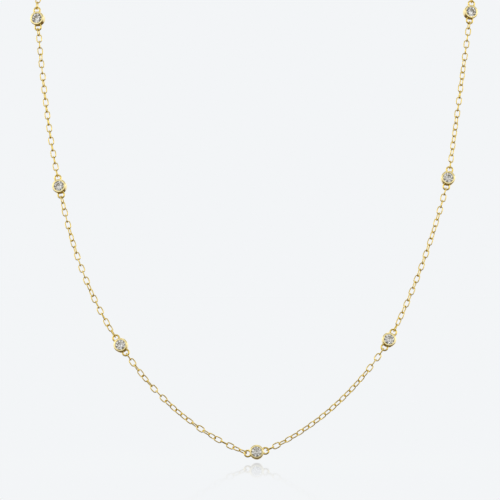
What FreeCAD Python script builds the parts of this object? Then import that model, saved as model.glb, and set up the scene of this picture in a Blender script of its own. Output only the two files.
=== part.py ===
import FreeCAD, Part
import math
import os
from collections import namedtuple

import Sketcher

# Station necklace: a fine cable chain with seven round stones, each in a plain bezel cup with a
# wire loop soldered on at either side. It keeps the form that it has when it is worn. The origin
# is the middle of the nape, +Z is up and the middle of the front faces -Y.

Vector = FreeCAD.Vector
doc = FreeCAD.newDocument("station_necklace")

# Driving sizes, in millimetres and degrees
SIZES = (
    ("bezel_diameter", 3.75),
    ("bezel_depth", 1.75),
    ("bezel_bore", 2.4),
    ("rim_round", 0.2),
    ("back_round", 0.1),
    ("rim_above_girdle", 0.3),
    ("lip_bevel", 0.05),
    ("lip_low", 0.06),
    ("lip_high", 0.19),
    ("loop_width", 2.1),
    ("loop_wire", 0.46),
    ("loop_centre", 2.35),
    ("stone_diameter", 3.0),
    ("stone_showing", 2.68),
    ("stone_gap", 0.03),
    ("seat_gap", 0.05),
    ("girdle_thickness", 0.08),
    ("table_diameter", 1.71),
    ("star_angle", 23.8),
    ("crown_angle", 34.5),
    ("upper_girdle_angle", 40.5),
    ("pavilion_angle", 40.8),
    ("lower_girdle_angle", 41.6),
    ("link_pitch", 1.828),
    ("link_width", 1.6),
    ("link_wire", 0.29),
    ("link_gap", 0.13),
    ("loop_gap", 0.16),
    ("links_in_run", 23),
    ("links_hidden_left", 42),
    ("links_hidden_right", 43),
    ("end_ring_diameter", 3.2),
    ("end_ring_wire", 0.5),
    ("clasp_diameter", 5.5),
    ("clasp_wire", 0.9),
    ("eye_diameter", 2.0),
    ("eye_wire", 0.45),
    ("eye_centre", 3.4),
    ("front_across", 0.5),
    ("front_reach", 79.5),
    ("front_drop", 141.0),
    ("nape_fullness", 1.6),
    ("face_tilt", 10.0),
)

# Stations. Heading is the angle of the cup's two loops above the horizontal, seen from the
# front; lean is how far they slope backwards; turn is how far the stone faces outwards.
Station = namedtuple("Station", "name side heading lean turn")
STATIONS = (
    Station("station_1", -1, 85.8, 13, 14),
    Station("station_2", -1, 78.5, 13, 10),
    Station("station_3", -1, 55.6, 13, 8),
    Station("station_4", 1, 8.7, 0, 0),
    Station("station_5", 1, 59, 13, 4),
    Station("station_6", 1, 78.5, 13, 3),
    Station("station_7", 1, 83, 13, 14),
)

# Runs of chain between the stations, each from its lower to its upper end. The chain is
# slack enough for its heading to change along a run, so three headings are given.
Run = namedtuple("Run", "name side low middle high lean_low lean_high turn_low turn_high")
RUNS = (
    Run("left_low", -1, 22.1, 39.7, 55.0, 9.9, 12.9, 0, 0),
    Run("left_middle", -1, 57.7, 69.0, 77.6, 16.2, 19.2, 0, 8),
    Run("left_high", -1, 78.2, 82.3, 84.3, 15.8, 17.8, 8, 19),
    Run("right_low", 1, 24.6, 41.0, 55.4, 11.6, 14.6, 0, 0),
    Run("right_middle", 1, 63.5, 69.8, 74.3, 14.8, 17.8, 0, 5),
    Run("right_high", 1, 81.5, 81.7, 81.8, 17.3, 19.3, 5, 20),
)

# Twist of the chain, in degrees, at some links of each run, counted from its lower end. At
# no twist the odd links are edge-on from the front and the even ones show their opening.
TWIST = {
    "left_low": ((1, 18), (2, 48), (3, 78), (4, 90), (5, 101), (6, 129), (7, 152), (8, 180),
                 (9, 193), (10, 215), (14, 230), (15, 257), (17, 270), (18, 280), (19, 305),
                 (20, 325), (21, 340), (22, 350), (23, 360)),
    "left_middle": ((1, 10), (2, 40), (3, 68), (5, 90), (7, 100), (8, 126), (9, 152),
                    (10, 180), (14, 180), (15, 203), (16, 215), (17, 232), (18, 252), (19, 270),
                    (21, 288), (22, 318), (23, 346)),
    "left_high": ((1, 0), (15, 0), (17, 15), (18, 30), (19, 45), (20, 38), (21, 15), (23, 0)),
    "right_low": ((1, 0), (2, 15), (3, 35), (4, 45), (18, 45), (19, 35), (20, 20), (21, 5),
                  (23, 0)),
    "right_middle": ((1, 15), (2, 45), (3, 60), (5, 68), (14, 68), (15, 60), (17, 35),
                     (19, 20), (20, 5), (23, 0)),
    "right_high": ((1, 0), (2, 20), (5, 25), (7, 40), (8, 50), (9, 65), (10, 85), (12, 90),
                   (14, 108), (15, 108), (16, 122), (18, 148), (19, 157), (22, 170), (23, 180)),
}

# Tiers of flats on the stone: how many, on which side of the girdle, their slope, where their
# plane passes (distance from the axis and height) and where the first one faces.
Tier = namedtuple("Tier", "name side count slope reach level first")
STONE_RADIUS = "sizes.stone_diameter / 2"
GIRDLE_TOP = "(sizes.bezel_depth / 2 - sizes.rim_above_girdle)"
GIRDLE_LOW = f"({GIRDLE_TOP} - sizes.girdle_thickness)"
TABLE_TOP = (
    f"({GIRDLE_TOP} + (sizes.stone_diameter - sizes.table_diameter) / 2"
    " * tan(sizes.crown_angle))"
)
CULET = f"({GIRDLE_LOW} - {STONE_RADIUS} * tan(sizes.pavilion_angle))"
TABLE_FLAT = "sizes.table_diameter / 2 * cos(22.5)"
TIERS = (
    Tier("crown_mains", 1, 8, "sizes.crown_angle", STONE_RADIUS, GIRDLE_TOP, 0),
    Tier("stars", 1, 8, "sizes.star_angle", TABLE_FLAT, TABLE_TOP, 22.5),
    Tier("upper_girdle", 1, 16, "sizes.upper_girdle_angle", STONE_RADIUS, GIRDLE_TOP, 11.25),
    Tier("pavilion_mains", -1, 8, "sizes.pavilion_angle", STONE_RADIUS, GIRDLE_LOW, 0),
    Tier("lower_girdle", -1, 16, "sizes.lower_girdle_angle", STONE_RADIUS, GIRDLE_LOW, 11.25),
)


def fill_sheet(name, rows):
    """Sheet of plain numbers, each cell with its alias."""
    sheet = doc.addObject("Spreadsheet::Sheet", name)
    for line, (alias, value) in enumerate(rows, start=1):
        sheet.set(f"A{line}", alias)
        sheet.set(f"B{line}", str(value))
        sheet.setAlias(f"B{line}", alias)
    return sheet


sizes = fill_sheet("sizes", SIZES)
route = fill_sheet(
    "route",
    [(f"{row.name}_{column}", value)
     for row in STATIONS + RUNS
     for column, value in zip(row._fields[1:], row[1:])],
)
doc.recompute()


def size(alias):
    return float(sizes.get(alias))


def route_row(row):
    """A row of the route, read back from its sheet."""
    return row._replace(**{
        column: float(route.get(f"{row.name}_{column}")) for column in row._fields[1:]
    })


def origin_part(body, role):
    """One of a body's own base planes or axes."""
    return next(item for item in body.Origin.OriginFeatures if item.Role == role)


def new_sketch(body, name, plane, turned=0):
    """Sketch on a base plane of the body, turned about the plane's upright axis."""
    sketch = body.newObject("Sketcher::SketchObject", name)
    sketch.AttachmentSupport = [(origin_part(body, plane), "")]
    sketch.MapMode = "FlatFace"
    sketch.AttachmentOffset = FreeCAD.Placement(
        Vector(), FreeCAD.Rotation(Vector(0, 1, 0), turned)
    )
    return sketch


def fix_point(sketch, curve, end, across, up):
    """Ties a point of the sketch to expressions, measured from the sketch's origin."""
    for kind, axis, expression in (("DistanceX", -2, across), ("DistanceY", -1, up)):
        if expression is None:
            continue
        value = float(sketch.evalExpression(expression))
        if value == 0:
            sketch.addConstraint(Sketcher.Constraint("PointOnObject", curve, end, axis))
            continue
        name = f"{kind}_{curve}_{end}"
        index = sketch.addConstraint(Sketcher.Constraint(kind, -1, 1, curve, end, value))
        sketch.renameConstraint(index, name)
        sketch.setExpression(f"Constraints.{name}", expression)


def add_outline(body, name, plane, corners, turned=0):
    """Closed outline of straight sides, with each corner given as two expressions."""
    sketch = new_sketch(body, name, plane, turned)
    points = [
        Vector(float(sketch.evalExpression(across)), float(sketch.evalExpression(up)), 0)
        for across, up in corners
    ]
    count = len(points)
    for number in range(count):
        side = Part.LineSegment(points[number], points[(number + 1) % count])
        sketch.addGeometry(side, False)
    for number in range(count):
        following = (number + 1) % count
        sketch.addConstraint(Sketcher.Constraint("Coincident", number, 2, following, 1))
    for number, (across, up) in enumerate(corners):
        fix_point(sketch, number, 1, across, up)
    return sketch


def turn_outline(body, kind, name, corners):
    """Solid or hollow of revolution about the body's upright axis."""
    feature = body.newObject(f"PartDesign::{kind}", name)
    feature.Profile = add_outline(body, f"{name}_outline", "XZ_Plane", corners)
    feature.ReferenceAxis = (origin_part(body, "Z_Axis"), [""])
    feature.Angle = 360
    doc.recompute()
    return feature


def add_wire_oval(body, name, centre, bend, wire):
    """Round wire bent to a long ring: two half rings about (centre, 0) and (-centre, 0)."""
    path = new_sketch(body, f"{name}_path", "XY_Plane")
    reach = float(path.evalExpression(centre))
    radius = float(path.evalExpression(bend))
    corners = [
        Vector(0, radius, 0),
        Vector(reach, radius, 0),
        Vector(reach, -radius, 0),
        Vector(-reach, -radius, 0),
        Vector(-reach, radius, 0),
    ]
    right = Part.ArcOfCircle(
        Part.Circle(Vector(reach, 0, 0), Vector(0, 0, 1), radius), -math.pi / 2, math.pi / 2
    )
    left = Part.ArcOfCircle(
        Part.Circle(Vector(-reach, 0, 0), Vector(0, 0, 1), radius), math.pi / 2, math.pi * 1.5
    )
    curves = (
        Part.LineSegment(corners[0], corners[1]),
        right,
        Part.LineSegment(corners[2], corners[3]),
        left,
        Part.LineSegment(corners[4], corners[0]),
    )
    for curve in curves:
        path.addGeometry(curve, False)
    joints = ((0, 2, 1, 2), (1, 1, 2, 1), (2, 2, 3, 2), (3, 1, 4, 1), (4, 2, 0, 1))
    for first, first_end, second, second_end in joints:
        path.addConstraint(
            Sketcher.Constraint("Coincident", first, first_end, second, second_end)
        )
    fix_point(path, 0, 1, "0", bend)
    fix_point(path, 0, 2, centre, bend)
    fix_point(path, 2, 1, centre, f"-({bend})")
    fix_point(path, 2, 2, f"-({centre})", f"-({bend})")
    fix_point(path, 4, 1, f"-({centre})", bend)
    fix_point(path, 1, 3, centre, None)
    fix_point(path, 3, 3, f"-({centre})", None)
    section = new_sketch(body, f"{name}_section", "YZ_Plane")
    thickness = float(section.evalExpression(wire)) / 2
    section.addGeometry(Part.Circle(Vector(radius, 0, 0), Vector(0, 0, 1), thickness), False)
    fix_point(section, 0, 3, bend, "0")
    index = section.addConstraint(Sketcher.Constraint("Radius", 0, thickness))
    section.renameConstraint(index, "wire_radius")
    section.setExpression("Constraints.wire_radius", f"({wire}) / 2")
    doc.recompute()
    pipe = body.newObject("PartDesign::AdditivePipe", name)
    pipe.Profile = section
    pipe.Spine = path
    doc.recompute()
    return pipe


def round_edges(body, name, level, radius):
    """Rounds the body's outer edge at one height of its axis."""
    base = body.Tip
    height = float(sizes.evalExpression(level))
    names = [
        f"Edge{number}"
        for number, edge in enumerate(base.Shape.Edges, start=1)
        if abs(edge.BoundBox.ZMin - height) < 1e-6 and abs(edge.BoundBox.ZMax - height) < 1e-6
    ]
    fillet = body.newObject("PartDesign::Fillet", name)
    fillet.Base = (base, names)
    fillet.setExpression("Radius", radius)
    doc.recompute()


def add_setting(name, place):
    """Bezel cup, open at the back, with its two loops: one soldered piece."""
    body = doc.addObject("PartDesign::Body", name)
    radius = "sizes.bezel_diameter / 2"
    front = "sizes.bezel_depth / 2"
    back = f"-{front}"
    turn_outline(
        body, "Revolution", "cup", (("0", back), (radius, back), (radius, front), ("0", front))
    )
    round_edges(body, "rim", front, "sizes.rim_round")
    round_edges(body, "back", back, "sizes.back_round")
    add_wire_oval(
        body, "loops", "sizes.loop_centre", "(sizes.loop_width - sizes.loop_wire) / 2",
        "sizes.loop_wire"
    )
    bore = "sizes.bezel_bore / 2"
    pocket = f"({STONE_RADIUS} + sizes.stone_gap)"
    seat = f"({GIRDLE_LOW} - sizes.seat_gap)"
    seat_low = f"{seat} - ({pocket} - {bore}) * tan(sizes.pavilion_angle)"
    lip = "sizes.stone_showing / 2"
    hollow = turn_outline(body, "Groove", "hollow", (
        ("0", "-sizes.bezel_depth"),
        (bore, "-sizes.bezel_depth"),
        (bore, seat_low),
        (pocket, seat),
        (pocket, f"{GIRDLE_TOP} + sizes.lip_low"),
        (lip, f"{GIRDLE_TOP} + sizes.lip_high"),
        (lip, f"{front} - sizes.lip_bevel"),
        (f"{lip} + sizes.lip_bevel", front),
        (f"{lip} + sizes.lip_bevel", "sizes.bezel_depth"),
        ("0", "sizes.bezel_depth"),
    ))
    body.Tip = hollow
    body.Placement = place
    return body


def cut_stone(name):
    """Round brilliant: a turned blank on which each tier of flats is cut, one flat indexed round."""
    body = doc.addObject("PartDesign::Body", name)
    turn_outline(body, "Revolution", "blank", (
        ("0", CULET), (STONE_RADIUS, CULET), (STONE_RADIUS, TABLE_TOP), ("0", TABLE_TOP)
    ))
    overrun = "sizes.stone_diameter"
    for tier in TIERS:
        rise = f"{tier.side} * {overrun} * tan({tier.slope})"
        outline = add_outline(body, f"{tier.name}_outline", "XZ_Plane", (
            (f"{tier.reach} + {overrun}", f"{tier.level} - {rise}"),
            (f"{tier.reach} + {overrun}", f"{tier.level} + {rise}"),
            (f"{tier.reach} - {overrun}", f"{tier.level} + {rise}"),
        ), tier.first)
        flat = body.newObject("PartDesign::Pocket", f"{tier.name}_flat")
        flat.Profile = outline
        flat.SideType = "Symmetric"
        flat.setExpression("Length", "2 * sizes.stone_diameter")
        doc.recompute()
        pattern = body.newObject("PartDesign::PolarPattern", tier.name)
        pattern.Originals = [flat]
        pattern.Axis = (origin_part(body, "Z_Axis"), [""])
        pattern.Angle = 360
        pattern.Occurrences = tier.count
        body.Tip = pattern
        doc.recompute()
    return body


def add_stone(name, pattern, place):
    """Stone of its own, cut to the pattern and put in its cup."""
    body = doc.addObject("PartDesign::Body", name)
    body.BaseFeature = pattern
    body.Placement = place
    return body


def add_ring(name, diameter, wire):
    """Plain ring of round wire."""
    ring = doc.addObject("Part::Torus", name)
    ring.setExpression("Radius1", f"({diameter} - {wire}) / 2")
    ring.setExpression("Radius2", f"{wire} / 2")
    return ring


def climbing(side, heading, lean):
    """Unit vector at a heading above the horizontal, towards one side, leaning backwards."""
    level = math.cos(math.radians(lean))
    return Vector(
        side * level * math.cos(math.radians(heading)),
        math.sin(math.radians(lean)),
        level * math.sin(math.radians(heading)),
    )


def outward(side, turn):
    """Direction that a face looks in: -Y in the middle of the front, +Y at the nape."""
    tilt = math.radians(size("face_tilt"))
    return Vector(
        side * math.cos(tilt) * math.sin(math.radians(turn)),
        -math.cos(tilt) * math.cos(math.radians(turn)),
        math.sin(tilt),
    )


def lay(place, along, facing, roll=0):
    """Placement of a piece drawn flat in XY: X goes along the chain and Z looks outwards."""
    rotation = FreeCAD.Rotation(along, Vector(), facing, "XZY")
    return FreeCAD.Placement(place, rotation * FreeCAD.Rotation(Vector(1, 0, 0), roll))


def between(keys, number):
    """Straight-line value at a link number, from (number, value) pairs."""
    for (low, low_value), (high, high_value) in zip(keys, keys[1:]):
        if number <= high:
            return low_value + (high_value - low_value) * (number - low) / (high - low)
    return keys[-1][1]


def curve_value(share, low, middle, high):
    """Value on the parabola through the start, the middle and the end."""
    return (low * (1 - share) * (1 - 2 * share) + middle * 4 * share * (1 - share)
            + high * share * (2 * share - 1))


def inside_hook(width, wire, gap="link_gap"):
    """Distance from a bend's centre to the hook point, midway between two wires."""
    return size(width) / 2 - size(wire) - size(gap) + size("link_gap") / 2


PITCH = size("link_pitch")
LINKS_IN_RUN = int(size("links_in_run"))
LOOP_HOOK = inside_hook("loop_width", "loop_wire", "loop_gap")


def link_places(hooks, side, turns, twist):
    """Placements of links between successive hook points; every other one is turned a quarter."""
    places = []
    count = len(hooks) - 1
    for number in range(1, count + 1):
        start, end = hooks[number - 1], hooks[number]
        share = (number - 1) / (count - 1)
        turn = turns[0] + (turns[1] - turns[0]) * share
        roll = between(twist, number) + (90 if number % 2 else 0)
        places.append(lay((start + end) / 2, end - start, outward(side, turn), roll))
    return places


def climb_run(run, start):
    """Hook points of a run that starts from the centre of a loop's bend, and the last heading."""
    directions = []
    for number in range(LINKS_IN_RUN):
        share = number / (LINKS_IN_RUN - 1)
        heading = curve_value(share, run.low, run.middle, run.high)
        lean = run.lean_low + (run.lean_high - run.lean_low) * share
        directions.append(climbing(run.side, heading, lean))
    hooks = [start + directions[0] * LOOP_HOOK]
    for direction in directions:
        hooks.append(hooks[-1] + direction * PITCH)
    return hooks, directions[-1]


def hidden_hooks(start, leaving, end, arriving, links):
    """Hook points round the side of the neck: a smooth curve just long enough for the links."""
    short, long = 0, links * PITCH
    for _ in range(50):
        handle = (short + long) / 2
        curve = Part.BezierCurve()
        fuller = handle * size("nape_fullness")
        curve.setPoles([start, start + leaving * handle, end - arriving * fuller, end])
        if curve.length() < links * PITCH:
            short = handle
        else:
            long = handle
    return curve.toShape().discretize(Number=links + 1)


# Fastening at the nape: the clasp's ring is centred on the origin and lies flat to the neck,
# with the end ring on its left and its own eye on its right.
nape_face = outward(1, 180)
along_nape = Vector(1, 0, 0)
clasp_hook = -inside_hook("clasp_diameter", "clasp_wire")
end_ring_reach = inside_hook("end_ring_diameter", "end_ring_wire")
end_ring_centre = along_nape * (clasp_hook - end_ring_reach)
left_end = end_ring_centre - along_nape * end_ring_reach
right_end = along_nape * (size("eye_centre") + inside_hook("eye_diameter", "eye_wire"))

# Chain and stations, climbed from the bottom station up either side and on to the nape
stations = [route_row(row) for row in STATIONS]
runs = [route_row(row) for row in RUNS]
loop_reach = size("loop_centre")
bottom = next(row for row in stations if row.name == "station_4")
bottom_axis = climbing(bottom.side, bottom.heading, bottom.lean)
bottom_place = Vector(size("front_across"), -size("front_reach"), -size("front_drop"))
station_places = {bottom.name: lay(bottom_place, bottom_axis, outward(1, bottom.turn))}
chain_places = {}
for side, chain, end, links in (
    (-1, "chain_left", left_end, int(size("links_hidden_left"))),
    (1, "chain_right", right_end, int(size("links_hidden_right"))),
):
    places = []
    corner = bottom_place + bottom_axis * side * loop_reach
    upwards = sorted(
        (row for row in stations if row.side == side and row is not bottom),
        key=lambda row: row.heading,
    )
    for run, station in zip((row for row in runs if row.side == side), upwards):
        hooks, arriving = climb_run(run, corner)
        places += link_places(hooks, side, (run.turn_low, run.turn_high), TWIST[run.name])
        axis = climbing(side, station.heading, station.lean)
        centre = hooks[-1] + arriving * LOOP_HOOK + axis * loop_reach
        station_places[station.name] = lay(centre, axis, outward(side, station.turn))
        corner = centre + axis * loop_reach
    hooks = hidden_hooks(corner + axis * LOOP_HOOK, axis, end, along_nape * -side, links)
    places += link_places(hooks, side, (station.turn, 180), ((1, 0), (links, 0)))
    chain_places[chain] = places

nodes = []
stone_pattern = cut_stone("stone_pattern")
for row in stations:
    number = row.name[-1]
    nodes.append(add_setting(f"setting_{number}", station_places[row.name]))
    nodes.append(add_stone(f"stone_{number}", stone_pattern, station_places[row.name]))

# Cable chain: one oval link, drawn once and hung in the next all the way round
link = doc.addObject("PartDesign::Body", "link_pattern")
LINK_LENGTH = "(sizes.link_pitch + 2 * sizes.link_wire + sizes.link_gap)"
add_wire_oval(
    link, "link_wire", f"({LINK_LENGTH} - sizes.link_width) / 2",
    "(sizes.link_width - sizes.link_wire) / 2", "sizes.link_wire"
)
for name, places in chain_places.items():
    chain = doc.addObject("Part::Feature", name)
    chain.Shape = Part.makeCompound([link.Shape.transformed(place.Matrix) for place in places])
    nodes.append(chain)

end_ring = add_ring("end_ring", "sizes.end_ring_diameter", "sizes.end_ring_wire")
end_ring.Placement = lay(end_ring_centre, along_nape, nape_face, 90)
clasp_ring = add_ring("clasp_ring", "sizes.clasp_diameter", "sizes.clasp_wire")
clasp_eye = add_ring("clasp_eye", "sizes.eye_diameter", "sizes.eye_wire")
clasp_eye.setExpression("Placement.Base.x", "sizes.eye_centre")
clasp = doc.addObject("Part::Fuse", "clasp")
clasp.Base = clasp_ring
clasp.Tool = clasp_eye
clasp.Placement = lay(Vector(), along_nape, nape_face)
nodes += [end_ring, clasp]

doc.recompute()
for item in doc.Objects:
    if "Invalid" in item.State or "Error" in item.State:
        raise RuntimeError(f"{item.Name} failed: {item.State}")
os.makedirs("parts", exist_ok=True)
for node in nodes:
    if node.Shape.isNull() or not node.Shape.isValid():
        raise RuntimeError(f"{node.Name} has no valid shape")
    node.Label = node.Name
    node.Shape.exportStep(f"parts/{node.Label}.step")
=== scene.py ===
import math

import bmesh
import bpy
import numpy
from mathutils import Matrix, Vector


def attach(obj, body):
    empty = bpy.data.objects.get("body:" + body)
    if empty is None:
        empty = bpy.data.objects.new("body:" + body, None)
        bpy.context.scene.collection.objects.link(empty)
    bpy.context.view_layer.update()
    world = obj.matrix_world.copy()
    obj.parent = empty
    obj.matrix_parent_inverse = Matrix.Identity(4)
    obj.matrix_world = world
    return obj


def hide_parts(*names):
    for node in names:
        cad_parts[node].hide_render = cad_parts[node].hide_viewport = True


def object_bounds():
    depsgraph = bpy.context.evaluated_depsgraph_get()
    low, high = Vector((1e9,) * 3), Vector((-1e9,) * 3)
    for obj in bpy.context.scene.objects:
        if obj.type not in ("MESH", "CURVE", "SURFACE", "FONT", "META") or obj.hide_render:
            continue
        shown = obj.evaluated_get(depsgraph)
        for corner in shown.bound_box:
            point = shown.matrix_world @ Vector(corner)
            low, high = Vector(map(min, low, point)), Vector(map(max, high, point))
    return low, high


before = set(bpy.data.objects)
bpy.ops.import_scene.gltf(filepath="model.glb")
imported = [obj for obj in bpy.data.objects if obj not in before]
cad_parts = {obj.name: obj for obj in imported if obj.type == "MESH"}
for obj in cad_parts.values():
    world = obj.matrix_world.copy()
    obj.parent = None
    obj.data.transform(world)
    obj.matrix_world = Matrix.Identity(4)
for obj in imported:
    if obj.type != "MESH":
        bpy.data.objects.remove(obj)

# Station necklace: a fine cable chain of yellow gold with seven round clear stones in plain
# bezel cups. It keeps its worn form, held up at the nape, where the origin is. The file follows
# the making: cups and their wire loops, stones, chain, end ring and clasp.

cad_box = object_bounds()
MM = 0.001


# Camera
# The photograph was taken from the front with a long lens, level with a point between the
# second and third stations, so the bottom station is seen from a little above.
CAMERA_PLACE = Vector((-1.24, -1379.5, -88.08)) * MM
CAMERA_LENS = 357.6
CAMERA_SENSOR = 36

bpy.ops.object.camera_add(location=CAMERA_PLACE, rotation=(math.radians(90), 0, 0))
camera = bpy.context.object
camera.name = "camera"
camera.data.lens = CAMERA_LENS
camera.data.sensor_width = CAMERA_SENSOR
camera.data.clip_start = 0.05
camera.data.clip_end = 50
bpy.context.scene.camera = camera
bpy.context.scene.view_settings.view_transform = "Standard"


# Studio
# A pale sheet of glossy acrylic lies below the bottom station and mirrors it faintly, less and
# less away from there. The white room that the gold mirrors is brown steeply below the sheet's
# edge and shaded around the camera, which draws the edges of wires and facets.
SHEET_DROP = 0.42
SHEET_SIZE = 9000
SHEET_HAZE = 0.035
MIRROR_COLOUR = "F1F7FF"
MIRROR_MIDDLE = (0.5, -79.5)
# Distance from that middle in millimetres, and the mirror's share of the sheet there
MIRROR_NEAR = (10, 0.28)
MIRROR_FAR = (120, 0.03)
ROOM_COLOUR = "F3F5F7"
# Height from 0, straight down, to 1, straight up, and the room's colour there
ROOM_LIGHT = (
    (0.0, "857558"), (0.20, "6A5630"), (0.325, "67532D"), (0.38, "D6CDBC"), (0.45, "F4F0E8"),
    (0.67, "FFFDF6"), (0.80, "C0BBB2"), (1.0, "C9C5BD"),
)
ROOM_STRENGTH = 1.12
# The shade's middle, the cosines between which it deepens, and the share of light left in it
SHADE_MIDDLE = (0, -0.92, -0.39)
SHADE_EDGE = (0.62, 0.92)
SHADE_LIGHT = 0.22
# Name, place and side in metres, and power in watts
SOFTBOXES = (
    ("softbox_left", (-2.3, -1.6, 1.5), 1.3, 8),
    ("softbox_right", (2.5, -1.2, 1.0), 1.0, 5),
    ("softbox_top", (0.2, 0.4, 3.0), 1.4, 10),
)


def hex_colour(text):
    """Linear colour with alpha 1 from an sRGB hex code."""
    shares = [int(text[place:place + 2], 16) / 255 for place in (0, 2, 4)]
    linear = [
        share / 12.92 if share <= 0.04045 else ((share + 0.055) / 1.055) ** 2.4
        for share in shares
    ]
    return (*linear, 1.0)


def add_node(tree, kind, sockets=None, **settings):
    """Adds a node with its settings; a socket takes a plain value or another node's output."""
    node = tree.nodes.new(kind)
    for name, value in settings.items():
        setattr(node, name, value)
    for name, value in (sockets or {}).items():
        if isinstance(value, bpy.types.NodeSocket):
            tree.links.new(value, node.inputs[name])
        else:
            node.inputs[name].default_value = value
    return node


def new_material(name):
    """Empty node material."""
    material = bpy.data.materials.new(name)
    material.use_nodes = True
    material.node_tree.nodes.clear()
    return material


def fill_ramp(node, stops):
    """Sets a colour ramp to hex colours at the given places."""
    points = node.color_ramp.elements
    while len(points) < len(stops):
        points.new(0.5)
    for point, (place, colour) in zip(points, stops):
        point.position = place
        point.color = hex_colour(colour)


# Cast acrylic, polished: an even pale face with a soft, faint mirror image
acrylic = new_material("glossy_acrylic_sheet")
tree = acrylic.node_tree
sheet_light = add_node(tree, "ShaderNodeEmission", {"Color": hex_colour(ROOM_COLOUR)})
sheet_mirror = add_node(
    tree, "ShaderNodeBsdfGlossy",
    {"Color": hex_colour(MIRROR_COLOUR), "Roughness": SHEET_HAZE},
)
spot = add_node(tree, "ShaderNodeTexCoord")
spread = add_node(
    tree, "ShaderNodeVectorMath",
    {0: spot.outputs["Object"], 1: (*(value * MM for value in MIRROR_MIDDLE), 0)},
    operation="DISTANCE",
)
gloss = add_node(
    tree, "ShaderNodeMapRange",
    {"Value": spread.outputs["Value"], "From Min": MIRROR_NEAR[0] * MM,
     "From Max": MIRROR_FAR[0] * MM, "To Min": MIRROR_NEAR[1], "To Max": MIRROR_FAR[1]},
    interpolation_type="SMOOTHSTEP",
)
sheet = add_node(
    tree, "ShaderNodeMixShader",
    {0: gloss.outputs[0], 1: sheet_light.outputs[0], 2: sheet_mirror.outputs[0]},
)
add_node(tree, "ShaderNodeOutputMaterial", {"Surface": sheet.outputs[0]})

bpy.ops.mesh.primitive_plane_add(
    size=SHEET_SIZE * MM, location=(0, 0, cad_box[0].z - SHEET_DROP * MM)
)
floor = bpy.context.object
floor.name = "floor"
floor.data.materials.append(acrylic)
# Only the camera sees the sheet, so it neither lights nor shades the necklace.
for ray in ("visible_diffuse", "visible_glossy", "visible_transmission", "visible_shadow"):
    setattr(floor, ray, False)

room = bpy.data.worlds.new("white_room")
room.use_nodes = True
tree = room.node_tree
tree.nodes.clear()
way = add_node(tree, "ShaderNodeTexCoord")
axes = add_node(tree, "ShaderNodeSeparateXYZ", {"Vector": way.outputs["Generated"]})
height = add_node(
    tree, "ShaderNodeMapRange", {"Value": axes.outputs["Z"], "From Min": -1.0, "From Max": 1.0}
)
room_light = add_node(tree, "ShaderNodeValToRGB", {"Fac": height.outputs[0]})
room_light.color_ramp.interpolation = "EASE"
fill_ramp(room_light, ROOM_LIGHT)
nearness = add_node(
    tree, "ShaderNodeVectorMath", {0: way.outputs["Generated"], 1: SHADE_MIDDLE},
    operation="DOT_PRODUCT",
)
shade = add_node(
    tree, "ShaderNodeMapRange",
    {"Value": nearness.outputs["Value"], "From Min": SHADE_EDGE[0], "From Max": SHADE_EDGE[1],
     "To Min": ROOM_STRENGTH, "To Max": ROOM_STRENGTH * SHADE_LIGHT},
    interpolation_type="SMOOTHSTEP",
)
studio = add_node(
    tree, "ShaderNodeBackground",
    {"Color": room_light.outputs["Color"], "Strength": shade.outputs[0]},
)
paper = add_node(
    tree, "ShaderNodeBackground", {"Color": hex_colour(ROOM_COLOUR), "Strength": 1.0}
)
seen = add_node(tree, "ShaderNodeLightPath")
shown = add_node(
    tree, "ShaderNodeMixShader",
    {0: seen.outputs["Is Camera Ray"], 1: studio.outputs[0], 2: paper.outputs[0]},
)
add_node(tree, "ShaderNodeOutputWorld", {"Surface": shown.outputs[0]})
bpy.context.scene.world = room

for name, place, side, power in SOFTBOXES:
    bpy.ops.object.light_add(type="AREA", location=place)
    softbox = bpy.context.object
    softbox.name = name
    softbox.data.shape = "SQUARE"
    softbox.data.size = side
    softbox.data.energy = power
    softbox.rotation_euler = (-Vector(place)).to_track_quat("-Z", "Y").to_euler()


# Settings
# Each cup is turned from 14 carat gold rod, open at the back, and burnished over its stone. A
# loop of round wire is soldered on at either side, and the solder fills the corner at the wall.
# Sizes are in millimetres: one cup is modelled face up, and each copy is put in place in metres.
CUP_RADIUS = 1.875
CUP_HALF_DEPTH = 0.875
CUP_BORE = 1.2
# Radius and height of the wall's corners, from the back of the bore, out, over the rim and in to
# the lip, the girdle's groove and the seat
CUP_SECTION = (
    (CUP_BORE, -CUP_HALF_DEPTH),
    (CUP_RADIUS, -CUP_HALF_DEPTH),
    (CUP_RADIUS, CUP_HALF_DEPTH),
    (1.39, CUP_HALF_DEPTH),
    (1.34, 0.825),
    (1.34, 0.765),
    (1.53, 0.635),
    (1.53, 0.445),
    (CUP_BORE, 0.16),
)
CUP_SIDES = 64
# Width and steps of the rounding
RIM_ROUND = (0.24, 4)
BACK_ROUND = (0.1, 3)
LOOP_CENTRE = 2.35
LOOP_RADIUS = 0.82
LOOP_WIRE = 0.46
LOOP_STEPS = 32
LOOP_SIDES = 12
# A loop is cut off inside the wall, and what lies farther out than the wall belongs to loops.
LOOP_CUT = 1.6
LOOPS_BEYOND = 2.25
# Degrees round a loop from its far end, and how much the solder thickens the wire there
SOLDER_RINGS = ((112.5, 1.03), (123.75, 1.16), (135.0, 1.45), (146.25, 1.45))
# Height of the stone's table above the loops' plane
TABLE_LEVEL = 1.018
# Edges sharper than this many degrees stay crisp.
SHARP_FROM = 32
# Points this close are on the same edge, or are doubles of one another.
NEAR = 0.002
DOUBLED = 0.0001


def pick(*pieces):
    """Leaves only these pieces selected, the last one active."""
    bpy.ops.object.select_all(action="DESELECT")
    for piece in pieces:
        piece.select_set(True)
    bpy.context.view_layer.objects.active = pieces[-1]


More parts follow.
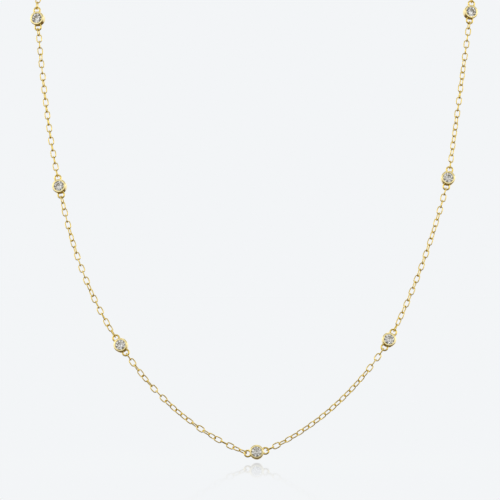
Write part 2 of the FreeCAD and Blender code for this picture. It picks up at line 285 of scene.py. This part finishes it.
def select_points(test):
    """In edit mode, selects the points whose place passes the test, and what lies between."""
    bpy.ops.mesh.select_all(action="DESELECT")
    mesh = bpy.context.object.data
    shape = bmesh.from_edit_mesh(mesh)
    for point in shape.verts:
        point.select_set(test(point.co))
    shape.select_flush(True)
    bmesh.update_edit_mesh(mesh)


def close_up():
    """In edit mode, merges doubled points and turns every face outwards."""
    bpy.ops.mesh.select_all(action="SELECT")
    bpy.ops.mesh.remove_doubles(threshold=DOUBLED)
    bpy.ops.mesh.normals_make_consistent(inside=False)


def place_copy(pattern, place, name):
    """Copy of a piece modelled in millimetres, its own mesh put in its place in metres."""
    piece = bpy.data.objects.new(name, pattern.data.copy())
    piece.data.name = name
    piece.data.transform(place @ Matrix.Scale(MM, 4))
    bpy.context.collection.objects.link(piece)
    return piece


def finish_piece(piece, slot, *nodes):
    """Ties a finished piece to the frame."""
    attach(piece, "root")
    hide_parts(*nodes)


# The tint changes over some grains of the polish, which leaves waves this many millimetres high.
TINT_GRAINS = 6
POLISH_RANGE = (0.3, 0.7)
WAVE_STRENGTH = 0.25
WAVE_HEIGHT = 0.02


def gold(name, light_hex, deep_hex, grain, smooth, rough):
    """Polished yellow gold between two tints, its polish uneven over a grain in millimetres."""
    material = new_material(name)
    tree = material.node_tree
    place = add_node(tree, "ShaderNodeTexCoord")
    alloy = add_node(
        tree, "ShaderNodeTexNoise",
        {"Vector": place.outputs["Object"], "Scale": 1 / (TINT_GRAINS * grain * MM),
         "Detail": 2.0},
    )
    tint = add_node(
        tree, "ShaderNodeMix",
        {"Factor": alloy.outputs["Fac"], "A": hex_colour(light_hex), "B": hex_colour(deep_hex)},
        data_type="RGBA",
    )
    polish = add_node(
        tree, "ShaderNodeTexNoise",
        {"Vector": place.outputs["Object"], "Scale": 1 / (grain * MM), "Detail": 3.0},
    )
    shine = add_node(
        tree, "ShaderNodeMapRange",
        {"Value": polish.outputs["Fac"], "From Min": POLISH_RANGE[0],
         "From Max": POLISH_RANGE[1], "To Min": smooth, "To Max": rough},
    )
    waves = add_node(
        tree, "ShaderNodeBump",
        {"Height": polish.outputs["Fac"], "Strength": WAVE_STRENGTH,
         "Distance": WAVE_HEIGHT * MM},
    )
    metal = add_node(
        tree, "ShaderNodeBsdfPrincipled",
        {"Base Color": tint.outputs["Result"], "Metallic": 1.0,
         "Roughness": shine.outputs[0], "Normal": waves.outputs[0]},
    )
    add_node(tree, "ShaderNodeOutputMaterial", {"Surface": metal.outputs[0]})
    return material


# Rubbed with a steel burnisher in strokes half a millimetre wide: mirror bright, and a little
# softer where the strokes meet. Its tints are the wire's alloy painted paler: a painted
# highlight.
burnished_gold_painted_highlight = gold(
    "burnished_14_carat_gold_painted_highlight", "FAEDB9", "F2E1A4", grain=0.5, smooth=0.05, rough=0.12
)
# Drawn through a plate and tumbled: the alloy's own deeper yellow, with softer lights along the
# wire. The marks of tumbling are finer than 0.3 mm and are drawn this coarse to show.
drawn_gold = gold(
    "drawn_14_carat_gold_wire", "F4DF88", "E8CC6C", grain=0.3, smooth=0.08, rough=0.16
)

bpy.ops.mesh.primitive_circle_add(
    vertices=CUP_SIDES, radius=CUP_SECTION[0][0], location=(0, 0, CUP_SECTION[0][1])
)
bpy.ops.object.transform_apply(location=True)
cup = bpy.context.object
cup.name = "cup_pattern"
bpy.ops.object.mode_set(mode="EDIT")
bpy.ops.mesh.select_all(action="SELECT")
for before, after in zip(CUP_SECTION, CUP_SECTION[1:] + CUP_SECTION[:1]):
    bpy.ops.mesh.extrude_edges_move(
        TRANSFORM_OT_translate={"value": (0, 0, after[1] - before[1])}
    )
    growth = after[0] / before[0]
    bpy.ops.transform.resize(value=(growth, growth, 1), center_override=(0, 0, after[1]))
close_up()
for level, (width, steps) in ((CUP_HALF_DEPTH, RIM_ROUND), (-CUP_HALF_DEPTH, BACK_ROUND)):
    select_points(
        lambda point: math.hypot(point.x, point.y) > CUP_RADIUS - NEAR
        and abs(point.z - level) < NEAR
    )
    bpy.ops.mesh.bevel(offset=width, segments=steps, affect="EDGES")
bpy.ops.object.mode_set(mode="OBJECT")

bpy.ops.mesh.primitive_torus_add(
    location=(LOOP_CENTRE, 0, 0), major_segments=LOOP_STEPS, minor_segments=LOOP_SIDES,
    major_radius=LOOP_RADIUS, minor_radius=LOOP_WIRE / 2,
)
bpy.ops.object.transform_apply(location=True)
loops = bpy.context.object
loops.name = "loop_pattern"
bpy.ops.object.mode_set(mode="EDIT")
for degrees, growth in SOLDER_RINGS:
    for side in (1, -1):
        angle = math.radians(degrees) * side
        centre = Vector((
            LOOP_CENTRE + LOOP_RADIUS * math.cos(angle), LOOP_RADIUS * math.sin(angle), 0
        ))
        select_points(lambda point: (point - centre).length < LOOP_WIRE / 2 + NEAR)
        bpy.ops.transform.resize(value=(growth, growth, growth), center_override=centre)
bpy.ops.mesh.select_all(action="SELECT")
bpy.ops.mesh.bisect(
    plane_co=(LOOP_CUT, 0, 0), plane_no=(1, 0, 0), clear_inner=True, use_fill=True
)
bpy.ops.object.mode_set(mode="OBJECT")
pick(loops)
mirror = loops.modifiers.new("other_side", "MIRROR")
mirror.use_mirror_merge = False
bpy.ops.object.modifier_apply(modifier=mirror.name)
bpy.ops.object.mode_set(mode="EDIT")
close_up()
bpy.ops.object.mode_set(mode="OBJECT")

# The cups get the gold whose tints are painted paler as a highlight, the loops the wire's own
# gold.
cup.data.materials.append(burnished_gold_painted_highlight)
loops.data.materials.append(drawn_gold)
pick(cup)
solder = cup.modifiers.new("solder", "BOOLEAN")
solder.operation = "UNION"
solder.solver = "EXACT"
solder.object = loops
solder.material_mode = "TRANSFER"
bpy.ops.object.modifier_apply(modifier=solder.name)
bpy.ops.object.shade_smooth_by_angle(angle=math.radians(SHARP_FROM))
even = cup.modifiers.new("even", "WEIGHTED_NORMAL")
even.keep_sharp = True
bpy.ops.object.modifier_apply(modifier=even.name)


def station_place(number):
    """Place of a station: X along its two loops, Z out of the stone's table.

    The table is the largest flat of the stone, and what lies beyond the cup's wall is loops.
    """
    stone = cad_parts[f"stone_{number}"].data
    flats = {}
    for face in stone.polygons:
        key = tuple(round(part, 2) for part in face.normal)
        flats.setdefault(key, []).append(face)
    table = max(flats.values(), key=lambda faces: sum(face.area for face in faces))
    area = sum(face.area for face in table)
    up = sum((face.normal * face.area for face in table), Vector()).normalized()
    middle = sum((face.center * face.area for face in table), Vector()) / area
    middle -= up * TABLE_LEVEL * MM
    arms = [point.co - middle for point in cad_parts[f"setting_{number}"].data.vertices]
    arms = [arm - up * arm.dot(up) for arm in arms]
    longest = max(arms, key=lambda arm: arm.length)
    arms = [arm for arm in arms if arm.length > LOOPS_BEYOND * MM]
    along = sum((arm if arm.dot(longest) > 0 else -arm for arm in arms), Vector())
    along.normalize()
    turn = Matrix((along, up.cross(along), up)).transposed()
    return Matrix.Translation(middle) @ turn.to_4x4()


STATIONS = range(1, 8)
for number in STATIONS:
    setting = place_copy(cup, station_place(number), f"bezel_cup_{number}")
    finish_piece(setting, "gold", f"setting_{number}")
for pattern in (cup, loops):
    bpy.data.objects.remove(pattern)


# Stones
# Round brilliants of cubic zirconia, cut and polished, with a table, stars, mains and girdle
# flats. Each sits on the seat inside its cup and is held by the lip burnished over its girdle.
ZIRCONIA_IOR = 2.16
HAZE_GRAIN = 0.4
HAZE_RANGE = (0.3, 0.8)
HAZE_ROUGHNESS = 0.02

# Colourless and clear as water, polished flat by flat: it bends light so far that each facet
# flashes white or goes grey. The lap's haze is finer than 0.4 mm and is drawn this coarse.
zirconia = new_material("polished_cubic_zirconia")
tree = zirconia.node_tree
place = add_node(tree, "ShaderNodeTexCoord")
haze = add_node(
    tree, "ShaderNodeTexNoise",
    {"Vector": place.outputs["Object"], "Scale": 1 / (HAZE_GRAIN * MM)},
)
polish = add_node(
    tree, "ShaderNodeMapRange",
    {"Value": haze.outputs["Fac"], "From Min": HAZE_RANGE[0], "From Max": HAZE_RANGE[1],
     "To Max": HAZE_ROUGHNESS},
)
crystal = add_node(
    tree, "ShaderNodeBsdfPrincipled",
    {"Base Color": hex_colour("FAFCFF"), "Roughness": polish.outputs[0], "IOR": ZIRCONIA_IOR,
     "Transmission Weight": 1.0},
)
add_node(tree, "ShaderNodeOutputMaterial", {"Surface": crystal.outputs[0]})
for number in STATIONS:
    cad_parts[f"stone_{number}"].material_slots[0].material = zirconia


# Chain
# Oval links bent from drawn gold wire, each hung in the next and soldered shut. Real links touch,
# and these stop just short. One link is modelled flat about its middle in millimetres, and a
# copy takes the place and turn of each link of the frame.
LINK_LENGTH = 2.43
LINK_WIDTH = 1.6
LINK_WIRE = 0.29
WIRE_SIDES = 6
LINK_STEPS = 16

bend = (LINK_WIDTH - LINK_WIRE) / 2
half_straight = (LINK_LENGTH - LINK_WIDTH) / 2
# The wire's flat sides measure as much round it as round wire does.
wire_radius = LINK_WIRE / 2 / (WIRE_SIDES / math.pi * math.sin(math.pi / WIRE_SIDES))
bpy.ops.mesh.primitive_torus_add(
    major_segments=LINK_STEPS, minor_segments=WIRE_SIDES, major_radius=bend,
    minor_radius=wire_radius,
)
link = bpy.context.object
link.name = "link_pattern"
bpy.ops.object.mode_set(mode="EDIT")
for side in (1, -1):
    select_points(lambda point: point.x * side > NEAR)
    bpy.ops.transform.translate(value=(half_straight * side, 0, 0))
bpy.ops.object.mode_set(mode="OBJECT")
link.data.materials.append(drawn_gold)
pick(link)
bpy.ops.object.shade_smooth()


def link_places(name):
    """Place of each link of a chain node: X along it, Z square to its opening.

    A link's points spread most along it, less across it and least through its wire.
    """
    copy = bpy.data.objects.new("loose_links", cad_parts[name].data.copy())
    bpy.context.collection.objects.link(copy)
    pick(copy)
    bpy.ops.object.mode_set(mode="EDIT")
    bpy.ops.mesh.select_all(action="SELECT")
    bpy.ops.mesh.remove_doubles(threshold=DOUBLED * MM)
    bpy.ops.mesh.separate(type="LOOSE")
    bpy.ops.object.mode_set(mode="OBJECT")
    places = []
    for part in bpy.context.selected_objects:
        points = numpy.array([point.co for point in part.data.vertices])
        middle = points.mean(axis=0)
        axes = numpy.linalg.eigh(numpy.cov((points - middle).T))[1]
        along, across = Vector(axes[:, 2]), Vector(axes[:, 1])
        turn = Matrix((along, across, along.cross(across))).transposed()
        places.append(Matrix.Translation(Vector(middle)) @ turn.to_4x4())
        bpy.data.objects.remove(part)
    return places


for name in ("chain_left", "chain_right"):
    links = [place_copy(link, place, name) for place in link_places(name)]
    pick(*links)
    bpy.ops.object.join()
    chain = bpy.context.object
    chain.name = name.replace("chain", "cable_chain")
    finish_piece(chain, "gold", name)
bpy.data.objects.remove(link)


# End ring and clasp
# Both are plain and lie at the nape: a closed ring of gold wire at the left end, and at the
# right end a ring with an eye soldered on.
for name in ("end_ring", "clasp"):
    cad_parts[name].material_slots[0].material = drawn_gold
